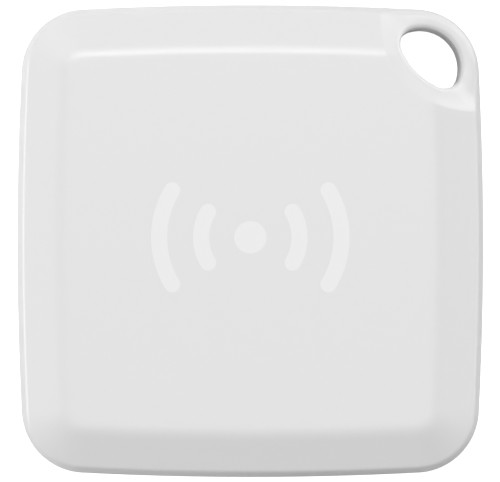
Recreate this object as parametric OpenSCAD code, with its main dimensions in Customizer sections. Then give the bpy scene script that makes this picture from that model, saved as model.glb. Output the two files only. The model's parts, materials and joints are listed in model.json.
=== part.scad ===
// Square bluetooth tracker tag with a keyring eye in one corner.
// Frame: the tag lies on its rear face, +Z is the front face's normal, +Y is up when it hangs
// upright, and the origin is the centre of the rear face. Millimetres.

/* [Body] */
// Width of the tag, along X
body_w = 38; // [37:0.5:40]
// Height of the tag, along Y
body_h = 38.5; // [37.5:0.5:41]
// Thickness of the tag, along Z
body_t = 8; // [8:0.1:8.6]
// Radius of the outline's corners
corner_r = 5.19; // [4.5:0.1:6]
// How far each side bows out between its corners
side_bow = 0.35; // [0.2:0.05:0.6]
// Height of the parting line between the two covers
parting_z = 3.12; // [3:0.02:3.3]
// Gap that shows between the two covers
parting_gap = 0.12; // [0.08:0.02:0.16]
// Thickness of the rear wall and of the front wall
wall = 1; // [0.9:0.05:1.1]

/* [Front face] */
// Height of the front face's outer edge
rim_z = 6.7; // [6.5:0.1:6.9]
// Inset of the raised plateau from the outline
plateau_inset = 3.65; // [3.2:0.05:4]
// Overall width of the inlaid signal icon
icon_w = 16; // [14:0.5:18]
// Width of the icon's strokes
icon_stroke = 1.3; // [1:0.1:1.6]
// Depth of the icon's inlay
icon_depth = 0.15; // [0.1:0.05:0.3]

/* [Keyring eye] */
// Centre of the eye, along X
eye_x = 14.75; // [14.5:0.05:15]
// Centre of the eye, along Y
eye_y = 14.97; // [14.7:0.05:15.2]
// Width of the eye, along the tag's diagonal
eye_w = 3.8; // [3.2:0.1:3.9]
// Radius of the eye's corner side
eye_corner_side_r = 3.1; // [2.9:0.1:3.4]
// Radius of the eye's flatter side, towards the middle of the tag
eye_middle_side_r = 5.6; // [5:0.1:6.2]
// Radius of the eye's two ends
eye_end_r = 1.25; // [1.1:0.05:1.4]
// Radius of the rounded collar cut around the eye
collar_r = 7.4; // [7:0.1:7.8]
// Tilt of the collar towards the corner, in degrees
collar_tilt = 7.5; // [6:0.5:9]

/* [Electronics] */
// Thickness of the circuit board
pcb_t = 0.8; // [0.6:0.1:0.8]
// Height of the circuit board's underside
pcb_z = 4.75; // [4.7:0.05:4.85]
// Inset of the circuit board from the outline
pcb_inset = 1.75; // [1.7:0.05:2.2]
// Travel of the push switch
switch_travel = 0.25; // [0.15:0.05:0.25]
// Diameter of the sounder's brass disc
sounder_d = 13; // [11:0.5:13]

/* [Coin cell] */
// Diameter of the coin cell, a CR2032
cell_d = 20; // [20:0.1:20]
// Thickness of the coin cell
cell_t = 3.2; // [3.2:0.1:3.2]
// Height of the coin cell's underside
cell_z = 1.2; // [1.2:0.02:1.22]

/* [Hidden] */

$fn = 64;
// Small overlap that keeps joined solids from sharing a face
eps = 0.02;
shell_colour = [0.91, 0.91, 0.91];
metal_colour = [0.78, 0.78, 0.76];

// ---- Outline: four bowed sides and four corners, all arcs with fixed centres, so that an
// inset outline is the same arcs at a smaller radius.
half_w = body_w / 2;
half_h = body_h / 2;
corner_x = half_w - corner_r - side_bow;
corner_y = half_h - corner_r - side_bow;
side_r = bow_radius(half_w - corner_x, corner_y);
end_r = bow_radius(half_h - corner_y, corner_x);
side_a = atan2(corner_y, corner_x - half_w + side_r);
end_a = atan2(corner_x, corner_y - half_h + end_r);
side_steps = 6;
corner_steps = 9;

// Radius of the long arc that runs tangent into the two corners beside it
function bow_radius(reach, along) =
    (reach * reach + along * along - corner_r * corner_r) / (2 * (reach - corner_r));

// Points of one arc, without its last point, which starts the next arc
function arc(c, r, a0, a1, steps) = [
    for (i = [0:steps - 1]) let (a = a0 + (a1 - a0) * i / steps) [c[0] + r * cos(a), c[1] + r * sin(a)]
];

function outline(inset) = concat(
    arc([half_w - side_r, 0], side_r - inset, -side_a, side_a, side_steps),
    arc([corner_x, corner_y], corner_r - inset, side_a, 90 - end_a, corner_steps),
    arc([0, half_h - end_r], end_r - inset, 90 - end_a, 90 + end_a, side_steps),
    arc([-corner_x, corner_y], corner_r - inset, 90 + end_a, 180 - side_a, corner_steps),
    arc([side_r - half_w, 0], side_r - inset, 180 - side_a, 180 + side_a, side_steps),
    arc([-corner_x, -corner_y], corner_r - inset, 180 + side_a, 270 - end_a, corner_steps),
    arc([0, end_r - half_h], end_r - inset, 270 - end_a, 270 + end_a, side_steps),
    arc([corner_x, -corner_y], corner_r - inset, 270 + end_a, 360 - side_a, corner_steps)
);

// ---- Eye: an oval of four arcs, in axes u, along the diagonal towards the corner, and v, across it
corner_side_u = eye_w / 2 - eye_corner_side_r;
middle_side_u = eye_middle_side_r - eye_w / 2;
to_corner_side = eye_corner_side_r - eye_end_r;
to_middle_side = eye_middle_side_r - eye_end_r;
eye_end_u = (pow(to_corner_side, 2) - pow(to_middle_side, 2) - pow(corner_side_u, 2) + pow(middle_side_u, 2))
    / (2 * (middle_side_u - corner_side_u));
eye_end_v = sqrt(pow(to_corner_side, 2) - pow(eye_end_u - corner_side_u, 2));
corner_side_a = atan2(eye_end_v, eye_end_u - corner_side_u);
middle_side_a = atan2(eye_end_v, eye_end_u - middle_side_u);
eye_half_length = eye_end_v + eye_end_r;
eye_steps = 8;

// From the eye's own axes to X and Y
function from_diagonal(p) = [eye_x + (p[0] - p[1]) / sqrt(2), eye_y + (p[0] + p[1]) / sqrt(2)];

// The eye's outline, grown by d all round
function eye(d) = [
    for (p = concat(
        arc([corner_side_u, 0], eye_corner_side_r + d, -corner_side_a, corner_side_a, eye_steps),
        arc([eye_end_u, eye_end_v], eye_end_r + d, corner_side_a, middle_side_a, eye_steps),
        arc([middle_side_u, 0], eye_middle_side_r + d, middle_side_a, 360 - middle_side_a, eye_steps),
        arc([eye_end_u, -eye_end_v], eye_end_r + d, 360 - middle_side_a, 360 - corner_side_a, eye_steps)
    )) from_diagonal(p)
];

// ---- Covers, as [inset, height] rings from the bottom up
rear_rings = [[0.95, 0], [0.55, 0.07], [0.28, 0.26], [0.13, 0.6], [0.05, 1.2], [0, parting_z]];
skirt_z = parting_z + parting_gap;
edge_inset = 0.55;
slope = (body_t - rim_z) / (plateau_inset - edge_inset);
// Half width of the rounding between slope and plateau
plateau_round = 0.6;
front_rings = [
    [0, skirt_z],
    [0.27, rim_z - 0.4],
    [0.34, rim_z - 0.16],
    [edge_inset + 0.08, rim_z + 0.03],
    [plateau_inset - plateau_round, body_t - slope * plateau_round],
    [plateau_inset, body_t - slope * plateau_round / 4],
    [plateau_inset + plateau_round, body_t]
];
front_wall_inset = 1.3;
ceiling_z = body_t - wall;
front_cavity_rings = [
    [front_wall_inset, skirt_z - 1],
    [front_wall_inset, skirt_z],
    [front_wall_inset + 0.15, ceiling_z - 1.3],
    [plateau_inset + 0.25, ceiling_z]
];
// Wall left around the eye: front cover, then the rear cover's lip
eye_wall = 1.05;
fit_gap = 0.1;
lip_inset = front_wall_inset + fit_gap;
lip_eye_wall = eye_wall + fit_gap;
lip_t = 0.8;
lip_z = parting_z + 1.08;
seal_w = 0.55;
groove_depth = 0.37;
seal_squeeze_gap = 0.04;
pry_slot = [6, 0.7, 0.8];

// Depth of the collar's face below the plateau, at the middle of the eye
eye_drop = 0.4;
// Rounding of the eye's edges, as [growth, distance from the face]; the last ring ends inside the hole
eye_edge_rings = [[0.5, -0.01], [0.2, 0.12], [0.06, 0.28], [-0.05, 0.6]];

// ---- Places of the inner pieces
pcb_top = pcb_z + pcb_t;
// Distance of the circuit board's cut corner from the eye's centre
pcb_cut_back = eye_w / 2 + eye_wall + 0.6;
cell_x = -2;
cell_y = -2;
cell_r = cell_d / 2;
pocket_gap = 0.25;
pocket_t = 0.8;
pocket_h = 2.6;
contact_w = 3;
contact_t = 0.15;
boss_r = 1.6;
screw_r = 0.68;
screw_hole_r = 0.7;
screw_head_r = 1.2;
screw_head_t = 0.45;
screw_length = 1.3;
screw_places = [[-13.2, 13.4], [-13.2, -13.4], [13.2, -13.4]];
switch_x = 0;
switch_y = 2.4;
switch_w = 4.2;
switch_h = 0.6;
plunger_r = 1.05;
plunger_hole_r = 1.1;
plunger_top = pcb_top + 1;
sounder_x = 0;
sounder_y = -7.9;
sounder_r = sounder_d / 2;
adhesive_t = 0.1;
sounder_t = 0.15;
ceramic_t = 0.12;
ceramic_r = 4.5;
sounder_z = ceiling_z - adhesive_t - sounder_t;

// ---- Shared shapes
module plate(inset) {
    polygon(outline(inset));
}

// One closed solid through a stack of outlines, given as [points, height] from the bottom up
module stack(layers) {
    count = len(layers[0][0]);
    last = len(layers) - 1;
    polyhedron(
        points = [for (layer = layers) for (p = layer[0]) [p[0], p[1], layer[1]]],
        faces = concat(
            [[for (i = [0:count - 1]) i]],
            [for (k = [0:last - 1]) for (i = [0:count - 1]) let (j = (i + 1) % count)
                [k * count + i, (k + 1) * count + i, (k + 1) * count + j, k * count + j]],
            [[for (i = [count - 1:-1:0]) last * count + i]]
        ),
        convexity = 4
    );
}

// The body's outline at each [inset, height] ring
module loft(rings) {
    stack([for (ring = rings) [outline(ring[0]), ring[1]]]);
}

// A cutter that rounds the eye's edge on the rear face, or on the front face at height z
module rear_eye_edge() {
    stack([for (ring = eye_edge_rings) [eye(ring[0]), ring[1]]]);
}

module front_eye_edge(z) {
    last = len(eye_edge_rings) - 1;
    stack([for (k = [last:-1:0]) [eye(eye_edge_rings[k][0]), z - eye_edge_rings[k][1]]]);
}

// The corner that the eye takes up, out past the outline, grown by d
module eye_corner(d) {
    v = eye_half_length + d;
    polygon(eye(d));
    polygon([for (p = [[0, -v], [9, -v], [9, v], [0, v]]) from_diagonal(p)]);
}

// The sealed inside: the outline without the eye's corner
module inside(inset, d) {
    difference() {
        plate(inset);
        eye_corner(d);
    }
}

// A band that follows the sealed inside, t wide
module inside_band(inset, d, t) {
    difference() {
        inside(inset, d);
        inside(inset + t, d + t);
    }
}

module at_cell() {
    translate([cell_x, cell_y, cell_z]) children();
}

// A box centred in X and Y, standing on z = 0
module block(size) {
    translate([-size[0] / 2, -size[1] / 2, 0]) cube(size);
}

// One arc of the signal icon, open to the side that angle faces
module wave(r, angle, spread) {
    mid_r = r - icon_stroke / 2;
    intersection() {
        difference() {
            circle(r = r);
            circle(r = r - icon_stroke);
        }
        rotate(angle) polygon([[0, 0], [2 * r * cos(spread), -2 * r * sin(spread)],
            [2 * r * cos(spread), 2 * r * sin(spread)]]);
    }
    // the round ends are a hair narrower than the stroke, so each meets the cut square on
    end_d = icon_stroke - 0.04;
    for (side = [-1, 1])
        rotate(angle + side * spread) translate([mid_r, 0]) circle(d = end_d, $fn = 32);
}

// A dot with two arcs on each side
module icon_shape() {
    outer_r = icon_w / 2;
    circle(r = icon_stroke);
    for (angle = [0, 180]) {
        wave(outer_r, angle, 31);
        wave(outer_r - 2.6 * icon_stroke, angle, 31);
    }
}

// ---- Rear half
module rear_cover() {
    color(shell_colour)
    difference() {
        union() {
            difference() {
                loft(rear_rings);
                translate([0, 0, wall]) linear_extrude(parting_z) inside(lip_inset, lip_eye_wall);
            }
            translate([0, 0, wall - eps])
                linear_extrude(lip_z - wall + eps)
                inside_band(lip_inset - eps, lip_eye_wall - eps, lip_t + eps);
            translate([cell_x, cell_y, wall - eps]) difference() {
                cylinder(r = cell_r + pocket_gap + pocket_t, h = pocket_h + eps);
                translate([0, 0, -eps]) cylinder(r = cell_r + pocket_gap, h = pocket_h + 3 * eps);
                translate([0, cell_r, 0.8]) block([contact_w + 2, 4, pocket_h]);
            }
        }
        translate([0, 0, parting_z - groove_depth])
            linear_extrude(groove_depth + eps)
            inside_band(lip_inset - seal_w, lip_eye_wall - seal_w, seal_w - eps);
        translate([0, 0, -eps]) linear_extrude(parting_z + 3 * eps) polygon(eye(0));
        rear_eye_edge();
        translate([-pry_slot[0] / 2, -half_h - 0.01, parting_z - pry_slot[2]])
            cube([pry_slot[0], pry_slot[1], pry_slot[2] + eps]);
    }
}

module seal_ring() {
    color([0.25, 0.26, 0.28])
    translate([0, 0, parting_z - groove_depth])
        linear_extrude(groove_depth + parting_gap - seal_squeeze_gap)
        inside_band(lip_inset - seal_w + 0.03, lip_eye_wall - seal_w + 0.03, seal_w - 0.08);
}

module cell_cushion() {
    color([0.3, 0.3, 0.32])
    translate([cell_x, cell_y, wall]) cylinder(r = 8, h = 0.15);
}

// ---- Front half
// The block above the collar's tilted face, within the collar's radius
module collar_cut() {
    middle_side = eye_w / 2 + 1.2;
    intersection() {
        translate(concat(from_diagonal([collar_r - middle_side, 0]), [rim_z - 1]))
            cylinder(r = collar_r, h = 4);
        translate(concat(from_diagonal([-middle_side, 0]), [body_t]))
            rotate([0, 0, 45]) rotate([0, collar_tilt, 0])
            translate([-2, -10, 0]) cube([20, 20, 4]);
    }
}

module front_cover() {
    color(shell_colour)
    difference() {
        union() {
            difference() {
                loft(front_rings);
                difference() {
                    loft(front_cavity_rings);
                    translate([0, 0, skirt_z - 2]) linear_extrude(body_t) eye_corner(eye_wall);
                }
            }
            for (place = screw_places)
                translate([place[0], place[1], pcb_top]) cylinder(r = boss_r, h = ceiling_z + 0.1 - pcb_top);
            translate([switch_x, switch_y, plunger_top + 0.05]) cylinder(r = 1.2, h = 0.55, $fn = 32);
        }
        translate([0, 0, skirt_z - 1.5]) linear_extrude(body_t) polygon(eye(0));
        front_eye_edge(body_t - eye_drop);
        collar_cut();
        translate([0, 0.3, body_t - icon_depth]) linear_extrude(1) icon_shape();
        for (place = screw_places)
            translate([place[0], place[1], pcb_top - eps]) cylinder(r = screw_hole_r, h = 0.9 + eps, $fn = 32);
    }
}

module front_icon() {
    color([0.96, 0.96, 0.96])
    translate([0, 0.3, body_t - icon_depth]) linear_extrude(icon_depth) icon_shape();
}

module circuit_board() {
    color([0.1, 0.35, 0.2])
    translate([0, 0, pcb_z]) linear_extrude(pcb_t) difference() {
        plate(pcb_inset);
        polygon([for (p = [[-pcb_cut_back, -12], [9, -12], [9, 12], [-pcb_cut_back, 12]]) from_diagonal(p)]);
        for (place = screw_places)
            translate(place) circle(r = screw_hole_r + 0.1, $fn = 32);
    }
}

// Screws that hold the board up to the front cover's bosses, heads below
module board_screws() {
    color(metal_colour)
    for (place = screw_places)
        translate([place[0], place[1], pcb_z]) difference() {
            union() {
                translate([0, 0, -screw_head_t]) cylinder(r = screw_head_r, h = screw_head_t, $fn = 32);
                cylinder(r = screw_r, h = screw_length, $fn = 32);
            }
            for (turn = [0, 90])
                rotate(turn) translate([0, 0, -screw_head_t - eps]) block([1.5, 0.28, 0.25]);
        }
}

module bluetooth_chip() {
    color([0.12, 0.12, 0.13])
    translate([7.6, 6.2, pcb_top]) block([6, 6, 0.85]);
}

module main_crystal() {
    color(metal_colour)
    translate([12.4, 6.2, pcb_top]) {
        block([2, 1.6, 0.35]);
        translate([0, 0, 0.35]) block([1.7, 1.3, 0.15]);
    }
}

module clock_crystal() {
    color(metal_colour)
    translate([8.4, 1.2, pcb_top]) {
        block([3.2, 1.5, 0.5]);
        translate([0, 0, 0.5]) block([2.8, 1.2, 0.25]);
    }
}

module chip_antenna() {
    color([0.93, 0.93, 0.88])
    translate([-4, 13.6, pcb_top]) block([7, 2, 1.1]);
}

// Small passives, each [x, y, turn]
capacitor_places = [
    [3.4, 8.6, 90], [3.4, 6.4, 90], [5.2, 10.4, 0], [7, 10.4, 0], [8.8, 10.4, 0], [12.4, 8.2, 0],
    [12.4, 4.2, 0], [11, 1.4, 90], [-9.6, 6.4, 0], [-12.6, 1.2, 90], [-6.2, 2.4, 90], [0.6, 11.2, 0]
];
resistor_places = [
    [2.2, 11.2, 0], [-1, 11.2, 0], [-6.6, 9.4, 90], [-12.6, -1.2, 90], [4.4, 1, 90], [4.4, 3, 90],
    [-4.2, 6.4, 0]
];

// A row of two-ended chips, 1 x 0.5 mm, h tall
module chips(places, h) {
    for (place = places)
        translate([place[0], place[1], pcb_top]) rotate(place[2]) block([1, 0.5, h]);
}

module capacitors() {
    color([0.72, 0.6, 0.45]) chips(capacitor_places, 0.5);
}

module resistors() {
    color([0.15, 0.15, 0.16]) chips(resistor_places, 0.35);
}

module boost_inductor() {
    color([0.3, 0.3, 0.31])
    translate([-9.6, 3.6, pcb_top]) block([3, 3, 1.2]);
}

module driver_transistor() {
    color([0.12, 0.12, 0.13])
    translate([-9.8, -1.4, pcb_top]) {
        translate([0, 0, 0.1]) block([2.9, 1.3, 0.85]);
        for (x = [-0.95, 0.95]) translate([x, -0.85, 0]) block([0.4, 0.7, 0.3]);
        translate([0, 0.85, 0]) block([0.4, 0.7, 0.3]);
    }
}

// ---- Sounder, bonded to the inside of the front wall
module at_sounder(z) {
    translate([sounder_x, sounder_y, z]) children();
}

module sounder_plate() {
    color([0.8, 0.65, 0.3]) at_sounder(sounder_z) cylinder(r = sounder_r, h = sounder_t);
}

module sounder_ceramic() {
    color([0.85, 0.84, 0.8]) at_sounder(sounder_z - ceramic_t) cylinder(r = ceramic_r, h = ceramic_t);
}

module sounder_adhesive() {
    color([0.2, 0.2, 0.22])
    at_sounder(sounder_z + sounder_t) difference() {
        cylinder(r = sounder_r, h = adhesive_t);
        translate([0, 0, -eps]) cylinder(r = sounder_r - 1, h = adhesive_t + 2 * eps);
    }
}

// A bent leaf spring whose foot is on the board and whose tip reaches height h above it
module leaf_spring(h) {
    t = 0.1;
    rotate([90, 0, 0]) translate([0, 0, -0.5]) linear_extrude(1)
        polygon([
            [0, 0], [2, 0], [2, t], [0.9, t], [0.3, 0.35], [0.3, 0.55], [1.9, h - t],
            [2.2, h - t], [2.5, h - 0.3], [2.6, h - 0.25], [2.3, h], [1.8, h], [0, 0.6]
        ]);
}

module sounder_contacts() {
    color(metal_colour) {
        at_sounder(pcb_top) translate([-1.8, 0, 0]) leaf_spring(sounder_z - ceramic_t - pcb_top);
        at_sounder(pcb_top) rotate(90) translate([3.2, 0, 0]) leaf_spring(sounder_z - pcb_top);
    }
}

// ---- Push switch, pressed by the front wall as it flexes
cavity_r = 1.75;
cavity_floor = pcb_top + 0.1;
cavity_top = pcb_top + 0.5;

module at_switch(z) {
    translate([switch_x, switch_y, z]) children();
}

module switch_body() {
    color([0.16, 0.16, 0.17])
    at_switch(pcb_top) difference() {
        block([switch_w, switch_w, switch_h]);
        translate([0, 0, cavity_floor - pcb_top]) cylinder(r = cavity_r, h = cavity_top - cavity_floor);
        cylinder(r = plunger_hole_r, h = switch_h + eps);
    }
}

// A snap dome: the upper cap of a thin sphere, whose outer face rises by rise over its rim
module switch_dome() {
    rise = 0.2;
    rim_r = 1.6;
    dome_r = (rim_r * rim_r + rise * rise) / (2 * rise);
    skin = 0.06;
    spread = asin(rim_r / dome_r);
    color(metal_colour)
    at_switch(cavity_floor + 0.01 + skin) translate([0, 0, rise - dome_r]) rotate_extrude()
        polygon(concat(
            [for (i = [0:8]) dome_r * [sin(spread * i / 8), cos(spread * i / 8)]],
            [for (i = [8:-1:0]) (dome_r - skin) * [sin(spread * i / 8), cos(spread * i / 8)]]
        ));
}

module switch_plunger() {
    flange_z = cavity_top - 0.12;
    color([0.85, 0.3, 0.25]) {
        at_switch(flange_z) cylinder(r = 1.4, h = 0.1);
        at_switch(flange_z + 0.1 - eps) cylinder(r = plunger_r, h = plunger_top - flange_z - 0.1 + eps);
    }
}

// ---- Cell contacts, under the board
module cell_contact_negative() {
    color(metal_colour)
    translate([cell_x, cell_y, 0]) for (turn = [0, 120, 240])
        rotate(turn) rotate([90, 0, 0]) translate([0, 0, -0.7]) linear_extrude(1.4)
            polygon([
                [-0.9, pcb_z - contact_t], [2, pcb_z - contact_t], [5.2, cell_z + cell_t + 0.04],
                [6, cell_z + cell_t + 0.04], [6, cell_z + cell_t + 0.16], [5.25, cell_z + cell_t + 0.16],
                [2.4, pcb_z], [-0.9, pcb_z]
            ]);
}

module cell_contact_positive() {
    blade_y = cell_y + cell_r + 0.1;
    color(metal_colour)
    translate([cell_x - contact_w / 2, blade_y, 0]) {
        translate([0, 0, pcb_z - contact_t]) cube([contact_w, 2.6, contact_t]);
        translate([0, 0, 2.1]) cube([contact_w, contact_t, pcb_z - 2.1]);
    }
}

// ---- Coin cell: profiles are [radius, height above the cell's underside]
module turned(profile) {
    rotate_extrude($fn = 96) polygon(profile);
}

cap_r = 8.8;
can_t = 0.25;

module cell_can() {
    color(metal_colour)
    at_cell() turned([
        [0, 0], [cell_r - 0.5, 0], [cell_r - 0.15, 0.12], [cell_r, 0.45], [cell_r, 2.65], [cell_r - 0.15, 2.86],
        [cap_r + 0.35, 2.9], [cap_r + 0.35, 2.65], [cell_r - can_t, 2.6], [cell_r - can_t, can_t], [0, can_t]
    ]);
}

module cell_gasket() {
    color([0.2, 0.2, 0.22])
    at_cell() turned([
        [cap_r, can_t], [cell_r - can_t, can_t], [cell_r - can_t, 2.6], [cap_r + 0.35, 2.65],
        [cap_r + 0.35, 2.95], [cap_r, 2.95]
    ]);
}

module cell_cap() {
    color(metal_colour)
    at_cell() turned([
        [0, cell_t], [cap_r - 0.2, cell_t], [cap_r, cell_t - 0.15], [cap_r, 0.6], [cap_r - can_t, 0.6],
        [cap_r - can_t, cell_t - can_t], [0, cell_t - can_t]
    ]);
}

module cell_cathode() {
    color([0.12, 0.12, 0.12])
    at_cell() translate([0, 0, can_t]) cylinder(r = 8.3, h = 1.7);
}

module cell_separator() {
    color([0.9, 0.9, 0.86])
    at_cell() translate([0, 0, can_t + 1.7]) cylinder(r = 8.4, h = 0.25);
}

module cell_anode() {
    color([0.7, 0.71, 0.73])
    at_cell() translate([0, 0, can_t + 1.95]) cylinder(r = 8.2, h = cell_t - 2 * can_t - 1.95);
}

rear_cover();
seal_ring();
cell_cushion();
front_cover();
front_icon();
circuit_board();
board_screws();
bluetooth_chip();
main_crystal();
clock_crystal();
chip_antenna();
capacitors();
resistors();
boost_inductor();
driver_transistor();
sounder_plate();
sounder_ceramic();
sounder_adhesive();
sounder_contacts();
switch_body();
switch_dome();
switch_plunger();
cell_contact_negative();
cell_contact_positive();
cell_can();
cell_gasket();
cell_cap();
cell_cathode();
cell_separator();
cell_anode();
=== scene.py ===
"""Looks for a square bluetooth tracker tag: its two moulded covers, the icon, the finishes, the
light and the camera. Shapes are worked out in millimetres and scaled to metres as they are built."""

import json
import math

import bmesh
import bpy
import numpy as np
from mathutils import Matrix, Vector
from mathutils.geometry import delaunay_2d_cdt


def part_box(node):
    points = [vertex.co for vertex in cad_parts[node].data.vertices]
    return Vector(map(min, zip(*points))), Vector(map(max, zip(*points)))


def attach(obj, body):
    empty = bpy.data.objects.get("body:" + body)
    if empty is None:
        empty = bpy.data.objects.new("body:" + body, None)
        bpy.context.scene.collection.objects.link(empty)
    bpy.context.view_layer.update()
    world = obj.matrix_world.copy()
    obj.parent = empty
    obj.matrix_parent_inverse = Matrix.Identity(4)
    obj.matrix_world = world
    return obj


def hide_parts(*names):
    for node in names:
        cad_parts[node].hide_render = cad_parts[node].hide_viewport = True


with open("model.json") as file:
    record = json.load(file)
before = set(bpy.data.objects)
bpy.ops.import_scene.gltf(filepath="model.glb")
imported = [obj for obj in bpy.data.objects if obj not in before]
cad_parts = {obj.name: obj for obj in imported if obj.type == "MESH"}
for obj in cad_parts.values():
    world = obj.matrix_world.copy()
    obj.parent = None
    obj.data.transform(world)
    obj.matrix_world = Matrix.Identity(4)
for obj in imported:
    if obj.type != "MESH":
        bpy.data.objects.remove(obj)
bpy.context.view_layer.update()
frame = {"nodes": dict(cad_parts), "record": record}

MM = 0.001
REAR_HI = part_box("rear_cover")[1] / MM
FRONT_LO, FRONT_HI = (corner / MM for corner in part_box("front_cover"))
HALF_W, HALF_H = REAR_HI.x, REAR_HI.y
TOP = FRONT_HI.z
SKIRT = FRONT_LO.z

# ---- Outline: four bowed sides and four corners, each one arc
CORNER_R = 5.19
SIDE_BOW = 0.35
CORNER_X = HALF_W - CORNER_R - SIDE_BOW
CORNER_Y = HALF_H - CORNER_R - SIDE_BOW


def bow_radius(reach, along):
    """Radius of a long arc that runs tangent into the corners at both its ends."""
    return (reach**2 + along**2 - CORNER_R**2) / (2 * (reach - CORNER_R))


SIDE_R = bow_radius(HALF_W - CORNER_X, CORNER_Y)
END_R = bow_radius(HALF_H - CORNER_Y, CORNER_X)
SIDE_A = math.atan2(CORNER_Y, CORNER_X - HALF_W + SIDE_R)
END_A = math.atan2(CORNER_X, CORNER_Y - HALF_H + END_R)
UP, LEFT, DOWN, ROUND = math.pi / 2, math.pi, 1.5 * math.pi, 2 * math.pi
OUTLINE_ARCS = [
    (HALF_W - SIDE_R, 0, SIDE_R, -SIDE_A, SIDE_A),
    (CORNER_X, CORNER_Y, CORNER_R, SIDE_A, UP - END_A),
    (0, HALF_H - END_R, END_R, UP - END_A, UP + END_A),
    (-CORNER_X, CORNER_Y, CORNER_R, UP + END_A, LEFT - SIDE_A),
    (SIDE_R - HALF_W, 0, SIDE_R, LEFT - SIDE_A, LEFT + SIDE_A),
    (-CORNER_X, -CORNER_Y, CORNER_R, LEFT + SIDE_A, DOWN - END_A),
    (0, END_R - HALF_H, END_R, DOWN - END_A, DOWN + END_A),
    (CORNER_X, -CORNER_Y, CORNER_R, DOWN + END_A, ROUND - SIDE_A),
]

# ---- Eye: an oval of four arcs, in axes u, towards the corner, and v, across the diagonal
EYE = (14.75, 14.97)
EYE_W = 3.8
CORNER_SIDE_R = 3.1
MIDDLE_SIDE_R = 5.6
EYE_END_R = 1.25
CORNER_SIDE_U = EYE_W / 2 - CORNER_SIDE_R
MIDDLE_SIDE_U = MIDDLE_SIDE_R - EYE_W / 2
EYE_END_U = (
    (CORNER_SIDE_R - EYE_END_R) ** 2 - (MIDDLE_SIDE_R - EYE_END_R) ** 2
    - CORNER_SIDE_U**2 + MIDDLE_SIDE_U**2
) / (2 * (MIDDLE_SIDE_U - CORNER_SIDE_U))
EYE_END_V = math.sqrt((CORNER_SIDE_R - EYE_END_R) ** 2 - (EYE_END_U - CORNER_SIDE_U) ** 2)
CORNER_SIDE_A = math.atan2(EYE_END_V, EYE_END_U - CORNER_SIDE_U)
MIDDLE_SIDE_A = math.atan2(EYE_END_V, EYE_END_U - MIDDLE_SIDE_U)
EYE_HALF_LENGTH = EYE_END_V + EYE_END_R
EYE_ARCS = [
    (CORNER_SIDE_U, 0, CORNER_SIDE_R, -CORNER_SIDE_A, CORNER_SIDE_A),
    (EYE_END_U, EYE_END_V, EYE_END_R, CORNER_SIDE_A, MIDDLE_SIDE_A),
    (MIDDLE_SIDE_U, 0, MIDDLE_SIDE_R, MIDDLE_SIDE_A, ROUND - MIDDLE_SIDE_A),
    (EYE_END_U, -EYE_END_V, EYE_END_R, ROUND - MIDDLE_SIDE_A, ROUND - CORNER_SIDE_A),
]

# ---- Front face
# The outer edge turns from the face's slope down to SIDE_TURN, with the radius EDGE_R. It ends
# EDGE_INSET in from the outline, or RIM_EDGE_INSET along the rim
EDGE_INSET = 0.47
RIM_EDGE_INSET = 0.28
EDGE_R = 0.5
SIDE_TURN = math.radians(81.4)
# The plateau's edge, rounded over PLATEAU_ROUND to each side, and the fall of the slope round it
PLATEAU_INSET = 3.65
PLATEAU_ROUND = 0.6
SLOPE = 0.4194
# The collar is a dip inside a circle. Its slope and how softly it starts change from the diagonal
# to its ends, COLLAR_END_V away, and it is never more than COLLAR_BOTTOM deep
COLLAR_CENTRE = (17.82, 17.82)
COLLAR_R = 7.4
COLLAR_SLOPE = 0.28
COLLAR_MIDDLE_SLOPE = 0.2
COLLAR_BLEND = 0.12
COLLAR_MIDDLE_BLEND = 0.35
COLLAR_END_V = 3.4
COLLAR_BOTTOM = 0.42
# The rim between the eye and the corner takes over from the collar between these two u
RIM_START_U = -1
RIM_FULL_U = 1.6
RIM_Z = 6.45
RIM_SLOPE = 0.05
# Radius of the eye's front edge, on the tag's side and on the corner's
EYE_ROUND_MIDDLE = 0.35
EYE_ROUND_CORNER = 0.44
# The icon: two arcs on each side of a dot, ICON_STROKE wide, let in ICON_DEPTH deep
ICON_CENTRE = (0, 0.3)
ICON_R = 8
ICON_STROKE = 1.3
ICON_STEP = 2.6 * ICON_STROKE
ICON_SPREAD = math.radians(31)
ICON_DEPTH = 0.15


def on_arc(arcs, t, grow):
    """The point at t along a closed chain of arcs, each one unit long, moved outwards by grow."""
    k = int(t) % len(arcs)
    x, y, r, a0, a1 = arcs[k]
    a = a0 + (a1 - a0) * (t - int(t))
    return x + (r + grow) * math.cos(a), y + (r + grow) * math.sin(a)


def outline(t, inset):
    """The point at t on the tag's outline, which is moved inwards by inset."""
    return on_arc(OUTLINE_ARCS, t, -inset)


def from_diagonal(u, v):
    """x and y of a point given in the eye's axes."""
    return EYE[0] + (u - v) / math.sqrt(2), EYE[1] + (u + v) / math.sqrt(2)


def to_diagonal(x, y):
    """A point in the eye's axes: u towards the corner, v across the diagonal."""
    x, y = x - EYE[0], y - EYE[1]
    return (x + y) / math.sqrt(2), (y - x) / math.sqrt(2)


def eye(t, grow):
    """The point at t on the eye's outline, which is moved outwards by grow."""
    return from_diagonal(*on_arc(EYE_ARCS, t, grow))


def inset_of(x, y):
    """Distance from the outline, inwards."""
    x, y = abs(x), abs(y)
    dx, dy = x - CORNER_X, y - CORNER_Y
    if dx > 0 and dy > 0 and SIDE_A < math.atan2(dy, dx) < UP - END_A:
        return CORNER_R - math.hypot(dx, dy)
    side = SIDE_R - math.hypot(x + SIDE_R - HALF_W, y)
    end = END_R - math.hypot(x, y + END_R - HALF_H)
    return min(side, end)


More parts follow.
